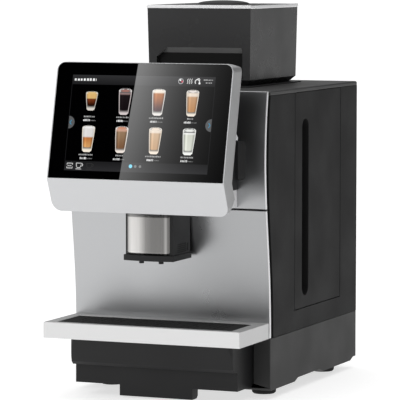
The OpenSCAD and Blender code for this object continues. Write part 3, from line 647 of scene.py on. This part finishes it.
def on_pocket_back(face):
    """Whether a face is the dark back of the hopper's front pocket."""
    return face.normal.y < -FACING and FRONT_DEPTH_MM < hopper_depth(face) < POCKET_DEPTH_MM


def on_hopper_front(face):
    """Whether a face is on the hopper's front, beside or below the pocket."""
    return face.normal.y < -FACING and hopper_depth(face) <= FRONT_DEPTH_MM


def on_pocket_band(face):
    """Whether a face is the band that slopes back under the pocket's upper edge."""
    high = face.center.z > BAND_LOW_MM * MM
    return face.normal.z < -SLOPING and hopper_depth(face) < BAND_DEPTH_MM and high


repaint(hopper, HOPPER_POCKET_SHADE, on_pocket_back)
repaint(hopper, HOPPER_FRONT_LIT, on_hopper_front)
repaint(hopper, HOPPER_BAND_HIGHLIGHT, on_pocket_band)

# Painted shade on the tray: its top face and its walls that look along X take darker copies of its finish,
# the top the darkest
tray = softened("tray_frame", 0.6, "tray_silver", 2)
repaint(tray, TRAY_SIDE_SHADE, faces_sideways)
repaint(tray, TRAY_TOP_SHADE, lambda face: face.normal.z > FACING)

# Painted shade: a thin black sheet on the door between the screen bracket and the door, for the dark
# reflection and shadow of the screen and its bracket, with its rows closer together at the rounded foot
BRACKET_SHADE_HALF_MM = 120.5
BRACKET_SHADE_LOW_MM = 308.0
BRACKET_SHADE_TOP_MM = 363.0
BRACKET_SHADE_CORNER_MM = 7.0
BRACKET_SHADE_LIFT_MM = 0.5
BRACKET_SHADE_ROWS = 24
BRACKET_SHADE_CROWDING = 1.6
bm = bmesh.new()
rows = []
for i in range(BRACKET_SHADE_ROWS + 1):
    z = BRACKET_SHADE_LOW_MM + (BRACKET_SHADE_TOP_MM - BRACKET_SHADE_LOW_MM) * (i / BRACKET_SHADE_ROWS) ** BRACKET_SHADE_CROWDING
    inset = max(0.0, BRACKET_SHADE_LOW_MM + BRACKET_SHADE_CORNER_MM - z)
    half = BRACKET_SHADE_HALF_MM - BRACKET_SHADE_CORNER_MM + math.sqrt(BRACKET_SHADE_CORNER_MM**2 - inset**2)
    rows.append([bm.verts.new(at(half * t, front_y(z) - BRACKET_SHADE_LIFT_MM, z)) for t in (-1, -0.5, 0, 0.5, 1)])
fill_rows(bm, rows)
thicken(finish_mesh(bm, "bracket_painted_shade", "door", "black_trim"), BRACKET_SHADE_LIFT_MM)

# ---------- Spout: bowed steel plate and side vents ----------

PLATE_R_MM = 130.0
PLATE_LOW_MM = 205.6
PLATE_TOP_MM = 262.0
PLATE_CORNER_MM = 4.0
PLATE_THICK_MM = 0.9
PLATE_COLUMNS = 64
PLATE_ROWS = 12
SPOUT_FRONT_MM = -84.5
SPOUT_HALF_MM = 35.6


def plate_point(i, j):
    """A point of the bowed plate, whose two lower corners are rounded."""
    x = PLATE_HALF_MM * (2 * i / PLATE_COLUMNS - 1)
    inset = max(0.0, abs(x) - (PLATE_HALF_MM - PLATE_CORNER_MM))
    low = PLATE_LOW_MM + PLATE_CORNER_MM - math.sqrt(PLATE_CORNER_MM**2 - inset**2)
    y = SPOUT_FRONT_MM + PLATE_R_MM - math.sqrt(PLATE_R_MM**2 - x**2)
    return at(x, y, low + (PLATE_TOP_MM - low) * j / PLATE_ROWS)


bm = bmesh.new()
fill_rows(bm, [
    [bm.verts.new(plate_point(i, j)) for i in range(PLATE_COLUMNS + 1)] for j in range(PLATE_ROWS + 1)
])
plate = finish_mesh(
    bm, "spout_plate_finish", "spout", "brushed_steel", ["spout_plate"], material=PLATE_STEEL_REFLECTIONS
)
thicken(plate, PLATE_THICK_MM)

# Vents: small raised blocks in a grid, low on both sides of the spout
VENT_COLUMNS = 7
VENT_ROWS = 5
VENT_Y_MM = -61.0
VENT_Z_MM = 207.6
VENT_PITCH_MM = (4.4, 2.7)
VENT_SIZE_MM = (3.0, 1.5)
VENT_PROUD_MM = 0.3
bm = bmesh.new()
for side in (-1, 1):
    low_x, high_x = sorted((side * SPOUT_HALF_MM, side * (SPOUT_HALF_MM + VENT_PROUD_MM)))
    for i in range(VENT_COLUMNS):
        for j in range(VENT_ROWS):
            y, z = VENT_Y_MM + VENT_PITCH_MM[0] * i, VENT_Z_MM + VENT_PITCH_MM[1] * j
            block_mesh(bm, (low_x, y, z), (high_x, y + VENT_SIZE_MM[0], z + VENT_SIZE_MM[1]))
finish_mesh(bm, "spout_vent_grid", "spout", "black_trim", bevel=0.1, segments=1, material=MATS["rubber"])

# ---------- Picture on the screen ----------

PICTURE_HALF_MM = 107.2
PICTURE_LOW_MM = 12.0
FOOT_TOP_MM = 25.4
TITLE_LOW_MM = 133.0
PICTURE_TOP_MM = 146.4
BLACK = (0.0002, 0.0002, 0.0003)
RIM_WHITE = (0.92, 0.92, 0.90)


class Sheet:
    """Collects flat shapes of the picture, each at its own small height above the glass."""

    def __init__(self):
        self.bm = bmesh.new()
        self.colours = []

    def vertex(self, x, z, lift, colour):
        """A point at x across and z up the glass, lift layers above it."""
        self.colours.append(colour)
        return self.bm.verts.new(on_screen(x, z, GLASS_FACE_MM + lift * LAYER_MM))

    def polygon(self, points, colour, lift=1):
        """One flat face round the points."""
        self.bm.faces.new([self.vertex(x, z, lift, colour) for x, z in points])

    def rect(self, x0, z0, x1, z1, colour, lift=1, top=None):
        """A rectangle in one colour, or fading up to a second one."""
        top = top or colour
        a, b = self.vertex(x0, z0, lift, colour), self.vertex(x1, z0, lift, colour)
        c, d = self.vertex(x1, z1, lift, top), self.vertex(x0, z1, lift, top)
        self.bm.faces.new([a, b, c, d])

    def disc(self, x, z, r, colour, lift=1, start=0.0, turn=360.0, steps=28):
        """A filled circle, or a part of one that starts and turns by angles in degrees."""
        ring = [math.radians(start + turn * i / steps) for i in range(steps + (turn < 360))]
        self.polygon([(x + r * math.cos(a), z + r * math.sin(a)) for a in ring], colour, lift)

    def stroke(self, points, width, colour, lift=2):
        """A line of even width through the points, as one strip."""
        sides = []
        for i, (x, z) in enumerate(points):
            ax, az = points[max(i - 1, 0)]
            bx, bz = points[min(i + 1, len(points) - 1)]
            length = math.hypot(bx - ax, bz - az) or 1.0
            nx, nz = -(bz - az) / length * width / 2, (bx - ax) / length * width / 2
            sides.append(
                (self.vertex(x + nx, z + nz, lift, colour), self.vertex(x - nx, z - nz, lift, colour))
            )
        for (a, b), (c, d) in zip(sides, sides[1:]):
            self.bm.faces.new([a, b, d, c])

    def ring(self, x, z, r, width, colour, lift=2, start=0.0, turn=360.0, steps=28):
        """A line of even width along a circle or an arc."""
        line = [math.radians(start + turn * i / steps) for i in range(steps + 1)]
        self.stroke([(x + r * math.cos(a), z + r * math.sin(a)) for a in line], width, colour, lift)

    def bars(self, x, z, width, height, colour, lift=2, pitch=2.4, seed=1):
        """A short row of blocks where a label stands, with no lettering in it."""
        rng = random.Random(seed)
        spot = x - width / 2
        while spot < x + width / 2 - 0.8:
            wide = min(pitch * rng.uniform(0.55, 0.8), x + width / 2 - spot)
            tone = rng.uniform(0.6, 1.0)
            rise = height * rng.uniform(0.75, 1.0)
            foot = z - height / 2
            self.rect(spot, foot, spot + wide, foot + rise, [c * tone for c in colour], lift)
            spot += pitch

    def piece(self, name):
        """Turns the shapes into one lit piece on the door."""
        for face in self.bm.faces:
            if face.normal.y > 0:
                face.normal_flip()
        obj = made_object(self.bm, name, PICTURE)
        paint_vertices(obj, self.colours)
        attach(obj, "door")


def step(low, high, value):
    """Rises smoothly from 0 at low to 1 at high."""
    t = min(1.0, max(0.0, (value - low) / (high - low)))
    return t * t * (3 - 2 * t)


def blend_rgb(a, b, t):
    """Colour a at t = 0 and colour b at t = 1."""
    return [x + (y - x) * t for x, y in zip(a, b)]


def drink_colour(s, v, look):
    """Colour inside a drink's outline: s across from -1 to 1, v up from 0 to 1."""
    edge = abs(s)
    foot, wall, fill, mouth_v = look["foot"], look["wall"], look["fill"], look["mouth"]
    foam_base = look["foam_base"]

    # Glass: a dark inside between pale walls, and a solid foot
    side = [c * (0.22 + 0.78 * step(0.84, 0.94, edge)) for c in look["glass"]]
    base = [min(1.0, c * 1.08) for c in look["glass"]]
    colour = blend_rgb(side, base, step(foot, 0.4 * foot, v))

    # Liquid: darker towards the walls, lit left of the middle, and round at the bottom
    shade = 1.0 - 0.42 * step(0.42, 0.84, edge) + 0.28 * step(0.28, 0.0, abs(s + 0.42))
    liquid = blend_rgb(look["low"], look["high"], step(foot, foam_base, v))
    liquid = [min(1.0, c * shade) for c in liquid]
    inside = step(wall + 0.05, wall - 0.05, edge)
    bowl = foot + 0.05 * (1 - math.sqrt(max(0.0, 1 - min(1.0, edge / wall) ** 2)))
    wet = inside * step(bowl - 0.012, bowl + 0.02, v) * step(fill + 0.015, fill - 0.015, v)
    colour = blend_rgb(colour, liquid, wet)

    # Foam, the round mouth above it, and the rim of the glass
    froth = inside * step(foam_base - 0.03, foam_base + 0.03, v) * step(fill + 0.03, fill, v)
    colour = blend_rgb(colour, [c * (0.72 + 0.28 * shade) for c in look["foam"]], froth)
    mouth = math.hypot(s / 0.78, (v - mouth_v) / 0.045)
    colour = blend_rgb(colour, look["top"], step(1.05, 0.8, mouth))
    rim = step(0.12, 0.02, abs(math.hypot(s / 0.93, (v - mouth_v) / 0.066) - 1.0) * 0.9)
    return blend_rgb(colour, RIM_WHITE, 0.9 * rim * (v > mouth_v - 0.05))


def drink(name, x, low, high, half, look, across=23, up=46):
    """One drink in its glass, painted on a fine grid from low to high and about half wide each way."""
    sheet = Sheet()
    rows = []
    for j in range(up + 1):
        v = j / up
        taper = half * (look["slim"] + (1 - look["slim"]) * step(-0.25, 1.0, v))
        foot = 1 - 0.34 * (1 - step(0.0, 0.09, v)) ** 2
        crown = math.sqrt(max(0.0, 1 - max(0.0, (v - 0.90) / 0.102) ** 2))
        wide = 0.95 * taper * foot * max(crown, 0.2)
        row = []
        for i in range(across + 1):
            s = 2 * i / across - 1
            colour = drink_colour(s * foot, v, look)
            row.append(sheet.vertex(x + s * wide, low + (high - low) * v, 2, colour))
        rows.append(row)
    fill_rows(sheet.bm, rows)
    sheet.piece(name)


def served(low, high, foam, **more):
    """A drink's look: its liquid at the foot and the top, its foam, and whatever differs from usual."""
    look = {
        "glass": (0.80, 0.77, 0.74), "low": low, "high": high, "foam": foam, "top": foam, "fill": 0.86,
        "foam_base": 0.80, "foot": 0.15, "wall": 0.86, "mouth": 0.93, "slim": 0.68,
    }
    look.update(more)
    return look


# Name, place across, foot, top, half width, width of its label, look
DRINKS = [
    ("espresso", -75.6, 96.5, 123.5, 9.6, 17, served(
        (0.008, 0.002, 0.001), (0.17, 0.035, 0.010), (0.72, 0.46, 0.17), fill=0.92, foam_base=0.62,
        foot=0.22, wall=0.88, slim=0.58, glass=(0.66, 0.62, 0.56), top=(0.78, 0.55, 0.24))),
    ("black", -25.2, 91.4, 128.8, 10.2, 19, served(
        (0.008, 0.005, 0.006), (0.012, 0.008, 0.009), (0.30, 0.20, 0.19), fill=0.80, foam_base=0.76,
        glass=(0.62, 0.55, 0.55), top=(0.36, 0.17, 0.14), mouth=0.90)),
    ("long", 25.2, 91.4, 128.8, 10.4, 22, served(
        (0.075, 0.036, 0.042), (0.46, 0.17, 0.055), (0.90, 0.80, 0.66), fill=0.93, foam_base=0.84,
        top=(0.92, 0.84, 0.74))),
    ("latte", 75.6, 91.4, 128.4, 9.8, 9, served(
        (0.50, 0.25, 0.10), (0.55, 0.32, 0.17), (0.85, 0.74, 0.62), fill=0.86, foam_base=0.74,
        glass=(0.86, 0.78, 0.68), top=(0.84, 0.78, 0.74))),
    ("cappuccino", -75.6, 38.2, 75.6, 10.2, 22, served(
        (0.66, 0.34, 0.12), (0.50, 0.18, 0.05), (0.74, 0.72, 0.70), fill=0.94, foam_base=0.56, foot=0.17,
        glass=(0.88, 0.80, 0.68), top=(0.88, 0.87, 0.86))),
    ("mocha", -25.2, 38.2, 75.6, 10.2, 11, served(
        (0.20, 0.10, 0.05), (0.30, 0.19, 0.11), (0.62, 0.36, 0.26), fill=0.90, foam_base=0.80,
        glass=(0.84, 0.76, 0.70), top=(0.66, 0.30, 0.19))),
    ("white_coffee", 25.2, 37.8, 75.4, 10.0, 23, served(
        (0.58, 0.37, 0.21), (0.62, 0.43, 0.27), (0.86, 0.74, 0.62), fill=0.88, foam_base=0.78,
        glass=(0.90, 0.80, 0.68), top=(0.90, 0.78, 0.66))),
    ("milk", 75.6, 37.8, 75.4, 10.2, 18, served(
        (0.70, 0.72, 0.64), (0.64, 0.66, 0.58), (0.92, 0.92, 0.90), fill=0.80, foam_base=0.76,
        glass=(0.90, 0.91, 0.88), top=(0.84, 0.85, 0.82), mouth=0.90)),
]

# Dark field, title bar, foot bar and the two faint side lines
DEEP_GREY = (0.012, 0.012, 0.013)
SIDE_LINE_MM = 0.5
sheet = Sheet()
left, right = -PICTURE_HALF_MM, PICTURE_HALF_MM
sheet.rect(left, PICTURE_LOW_MM, right, PICTURE_TOP_MM, BLACK, 0.5)
sheet.rect(left, TITLE_LOW_MM, right, PICTURE_TOP_MM, DEEP_GREY, 1, (0.030, 0.030, 0.032))
sheet.rect(left, PICTURE_LOW_MM, right, FOOT_TOP_MM, (0.026, 0.026, 0.028), 1, DEEP_GREY)
for x in (left, right):
    sheet.rect(x - SIDE_LINE_MM, FOOT_TOP_MM, x + SIDE_LINE_MM, TITLE_LOW_MM, (0.010, 0.010, 0.011), 1)
sheet.piece("picture_field")

# Half-round page tabs with their chevrons, and the page dots
TAB_UP_MM = 79.4
CHEVRON_HALF_MM = 3.2
DOT_PITCH_MM = 7.1
sheet = Sheet()
for side in (-1, 1):
    sheet.disc(side * 107.0, TAB_UP_MM, 8.8, (0.105, 0.108, 0.112), 1, 90 if side > 0 else -90, 180.0)
    tip, back = side * 104.4, side * 1.6
    chevron = [
        (tip - back, TAB_UP_MM + CHEVRON_HALF_MM),
        (tip + back * 0.5, TAB_UP_MM),
        (tip - back, TAB_UP_MM - CHEVRON_HALF_MM),
    ]
    sheet.stroke(chevron, 1.0, (0.04, 0.32, 0.55))
for i, (radius, colour) in enumerate([(2.6, (0.22, 0.74, 0.95)), (1.9, grey(0.20)), (1.9, grey(0.20))]):
    sheet.disc(-7.3 + DOT_PITCH_MM * i, 20.1, radius, colour, 2)
sheet.piece("picture_pages")

# Status icons in the title bar: a bean in a ring, steam, a kettle with its level, and two short lines
PALE = grey(0.80)
BRIGHT = grey(0.85)
RED = (0.50, 0.06, 0.10)
sheet = Sheet()
sheet.ring(56.2, 140.0, 3.6, 0.7, (0.55, 0.55, 0.56))
sheet.disc(55.4, 141.6, 1.5, BRIGHT, 3)
sheet.disc(58.2, 139.4, 1.5, RED, 3)
for i in range(3):
    rise = [k / 8 for k in range(9)]
    wave = [(65.6 + 3.0 * i + 1.6 * t + 0.7 * math.sin(6.4 * t), 136.6 + 7.0 * t) for t in rise]
    sheet.stroke(wave, 0.9, PALE)
sheet.ring(80.6, 139.4, 3.2, 1.2, BRIGHT, start=-50, turn=280)
sheet.ring(82.2, 142.2, 1.9, 0.9, BRIGHT, start=-30, turn=180)
sheet.disc(84.0, 137.4, 1.5, grey(0.90), 3)
sheet.bars(97.4, 142.2, 15.0, 1.7, grey(0.50), seed=5)
sheet.bars(97.8, 138.2, 9.0, 1.7, grey(0.50), seed=6)

# Icons in the foot bar: a frame with a gap in each upright side round a short bar, and two cups on saucers
FRAME_X_MM = (-103.4, -95.2)
FRAME_UP_MM = (15.2, 22.0)
CORNER_MM = 2.2
LINE_MM = 0.8
low, high = FRAME_UP_MM
for up in (high, low):
    sheet.stroke([(x, up) for x in FRAME_X_MM], LINE_MM, PALE)
for x in FRAME_X_MM:
    sheet.stroke([(x, low), (x, low + CORNER_MM)], LINE_MM, PALE)
    sheet.stroke([(x, high - CORNER_MM), (x, high)], LINE_MM, PALE)
sheet.bars(sum(FRAME_X_MM) / 2, (low + high) / 2, 5.6, 2.0, PALE, pitch=1.9, seed=8)
for x, colour in ((-85.6, PALE), (-69.6, grey(0.035))):
    left_half = [(-4.0, 22.4), (-3.2, 17.4), (-1.6, 16.0)]
    outline = left_half + [(-dx, up) for dx, up in reversed(left_half)] + left_half[:1]
    sheet.stroke([(x + dx, up) for dx, up in outline], LINE_MM, colour)
    sheet.ring(x + 4.4, 20.0, 1.7, LINE_MM, colour, start=-90, turn=180)
    sheet.stroke([(x - 4.2, 14.2), (x + 4.2, 14.2)], LINE_MM, colour)
sheet.piece("picture_icons")

# Two lines of blocks under each drink, at their own drops below the row's foot, and a plain title
LABEL_DROP_MM = (3.4, 8.4, 8.8)
ROW_STEP_MM = 53.4
UPPER_ROW_MM = 91.4
sheet = Sheet()
for n, (name, x, low, high, half, width, look) in enumerate(DRINKS):
    row = UPPER_ROW_MM if low > 80 else UPPER_ROW_MM - ROW_STEP_MM
    name_up, price_up, unit_up = [row - drop for drop in LABEL_DROP_MM]
    sheet.bars(x - 0.6, name_up, width, 2.1, grey(0.50), seed=20 + n)
    sheet.bars(x - 4.6, price_up, 9.6, 3.0, grey(1.0), pitch=2.1, seed=40 + n)
    sheet.bars(x + 5.0, unit_up, 8.0, 1.5, grey(0.24), pitch=1.8, seed=60 + n)
sheet.bars(-87.4, 140.0, 33.0, 3.8, grey(1.0), pitch=4.6, seed=3)
sheet.piece("picture_labels")

for name, x, low, high, half, width, look in DRINKS:
    drink("picture_" + name, x, low, high, half, look)

# Every other CAD node keeps its own shape and takes a procedural finish
slots = {part["node"]: part["material_slot"] for part in frame["record"]["subparts"]}
for name, obj in NODES.items():
    if not obj.hide_render:
        obj.data.materials.clear()
        obj.data.materials.append(MATS[slots[name]])

# ---------- Stage: sky, floor and lamps ----------

WORLD_LIGHT = 0.50
RIGHT_LIGHT = 0.05
RIGHT_BACK = (0.75, 0.66, 0.0)
OVERHEAD_LIGHT = 1.0
FLOOR_GLOW = 0.66
FLOOR_RADIUS = 80.0
FLOOR_GAP = 0.0005
CAMERA_PLACE = Vector((1.6029, -3.8430, 0.6208))
CAMERA_DIP = math.radians(4.80)
CAMERA_TURN = math.radians(22.89)


def light_sky():
    """Even surroundings that darken behind the machine's right-hand side and brighten overhead."""
    world = bpy.data.worlds.new("studio")
    bpy.context.scene.world = world
    world.use_nodes = True
    nodes, links = world.node_tree.nodes, world.node_tree.links
    sky = nodes["Background"]
    sky.inputs["Strength"].default_value = WORLD_LIGHT
    where = nodes.new("ShaderNodeTexCoord")
    apart = nodes.new("ShaderNodeSeparateXYZ")
    links.new(where.outputs["Generated"], apart.inputs["Vector"])
    toward = nodes.new("ShaderNodeVectorMath")
    toward.operation = "DOT_PRODUCT"
    toward.inputs[1].default_value = RIGHT_BACK
    links.new(where.outputs["Generated"], toward.inputs[0])
    around = map_range(nodes, links, toward.outputs["Value"], 0.1, 0.95, 1.0, RIGHT_LIGHT, smooth=True)
    above = map_range(nodes, links, apart.outputs["Z"], 0.35, 0.95, 0.0, OVERHEAD_LIGHT, smooth=True)
    total = nodes.new("ShaderNodeMath")
    links.new(around, total.inputs[0])
    links.new(above, total.inputs[1])
    tone = nodes.new("ShaderNodeCombineColor")
    for channel in ("Red", "Green", "Blue"):
        links.new(total.outputs["Value"], tone.inputs[channel])
    links.new(tone.outputs["Color"], sky.inputs["Color"])


def lay_floor():
    """A wide white floor just under the machine, which glows a little so that it stays white."""
    bm = bmesh.new()
    bmesh.ops.create_circle(bm, cap_ends=True, radius=FLOOR_RADIUS, segments=96)
    white = surface("floor_white", grey(0.58), 0.7, tone=0.01, blotch=2.0, grain=300, bump=0.02)
    glow = white.node_tree.nodes["Principled BSDF"].inputs
    glow["Emission Color"].default_value = (1, 1, 1, 1)
    glow["Emission Strength"].default_value = FLOOR_GLOW
    floor = made_object(bm, "floor", white)
    floor.location.z = -FLOOR_GAP


def softbox(name, place, target, size, power):
    """A square lamp of a size in metres and a power in watts, turned towards a target."""
    data = bpy.data.lights.new(name, "AREA")
    data.shape = "RECTANGLE"
    data.size = data.size_y = size
    data.energy = power
    lamp = bpy.data.objects.new(name, data)
    lamp.location = place
    lamp.rotation_euler = (Vector(target) - Vector(place)).to_track_quat("-Z", "Y").to_euler()
    bpy.context.scene.collection.objects.link(lamp)


light_sky()
lay_floor()
softbox("key", (-2.2, -3.0, 2.2), (0, 0, 0.25), 1.8, 20)
softbox("top", (0.3, 0.0, 3.0), (0, 0, 0.3), 2.0, 16)

# ---------- Stage: the card that the glass mirrors, black with a soft grey half ----------

CARD_REACH = 1.1
CARD_ROWS = 20
CARD_LOW_MM = -20
CARD_HEIGHT_MM = 210
CARD_LEFT_MM = (-170, -100)
CARD_STEP_MM = 9
CARD_STEPS = 21
SHINE_FOOT_MM = -22.4
SHINE_LEAN = 13.0 / 163.7
SHINE_REACH_MM = 60
GLOSS_AT_FRONT = 0.040
GLASS_NORMAL = Vector((0, -math.cos(SCREEN_TILT), math.sin(SCREEN_TILT)))


def shine_edge(up):
    """Where across the glass the grey half of the card begins, at a height up the glass."""
    return SHINE_FOOT_MM + SHINE_LEAN * up


def card_light(x, up):
    """Brightness of the card where the glass shows it at (x, up)."""
    past = x - shine_edge(up)
    if past < 0:
        return 0.0
    return (0.12 + 0.10 * up / 160) * math.exp(-((past / SHINE_REACH_MM) ** 1.25)) / GLOSS_AT_FRONT


def emission_material(name):
    """A material that only gives off the light painted on its vertices."""
    mat = bpy.data.materials.new(name)
    mat.use_nodes = True
    nodes, links = mat.node_tree.nodes, mat.node_tree.links
    nodes.clear()
    out = nodes.new("ShaderNodeOutputMaterial")
    lit = nodes.new("ShaderNodeEmission")
    links.new(vertex_paint(nodes), lit.inputs["Color"])
    links.new(lit.outputs["Emission"], out.inputs["Surface"])
    return mat


def hang_card():
    """A card in front of the machine, where the rays go that the glass turns away from the camera's place."""
    origin = on_screen(0, 0, GLASS_FACE_MM)
    image = CAMERA_PLACE - 2 * (CAMERA_PLACE - origin).dot(GLASS_NORMAL) * GLASS_NORMAL
    middle = on_screen(0, 82, GLASS_FACE_MM)
    away = (middle - image).normalized()
    distance = (middle - image).length + CARD_REACH
    bm = bmesh.new()
    rows, tones = [], []
    for j in range(CARD_ROWS + 1):
        up = CARD_LOW_MM + CARD_HEIGHT_MM * j / CARD_ROWS
        edge = shine_edge(up)
        row = []
        for x in [*CARD_LEFT_MM, edge - 0.6] + [edge + CARD_STEP_MM * k for k in range(CARD_STEPS + 1)]:
            ray = on_screen(x, up, GLASS_FACE_MM) - image
            row.append(bm.verts.new(image + ray * (distance / ray.dot(away))))
            tones.append(grey(card_light(x, up)))
        rows.append(row)
    fill_rows(bm, rows)
    card = made_object(bm, "studio_card", emission_material("studio_card"))
    paint_vertices(card, tones)
    card.visible_camera = False
    card.visible_diffuse = False
    card.visible_shadow = False
    card.visible_transmission = False


hang_card()

# ---------- Camera ----------

camera = bpy.data.objects.new("camera", bpy.data.cameras.new("camera"))
bpy.context.scene.collection.objects.link(camera)
camera.location = CAMERA_PLACE
camera.rotation_euler = (math.radians(90) - CAMERA_DIP, 0, CAMERA_TURN)
camera.data.sensor_width = 36.0
camera.data.lens = 259.8
camera.data.shift_x = 0.0255
camera.data.shift_y = -0.0075
camera.data.clip_start = 0.1
camera.data.clip_end = 200.0
bpy.context.scene.camera = camera
bpy.context.scene.view_settings.view_transform = "Standard"
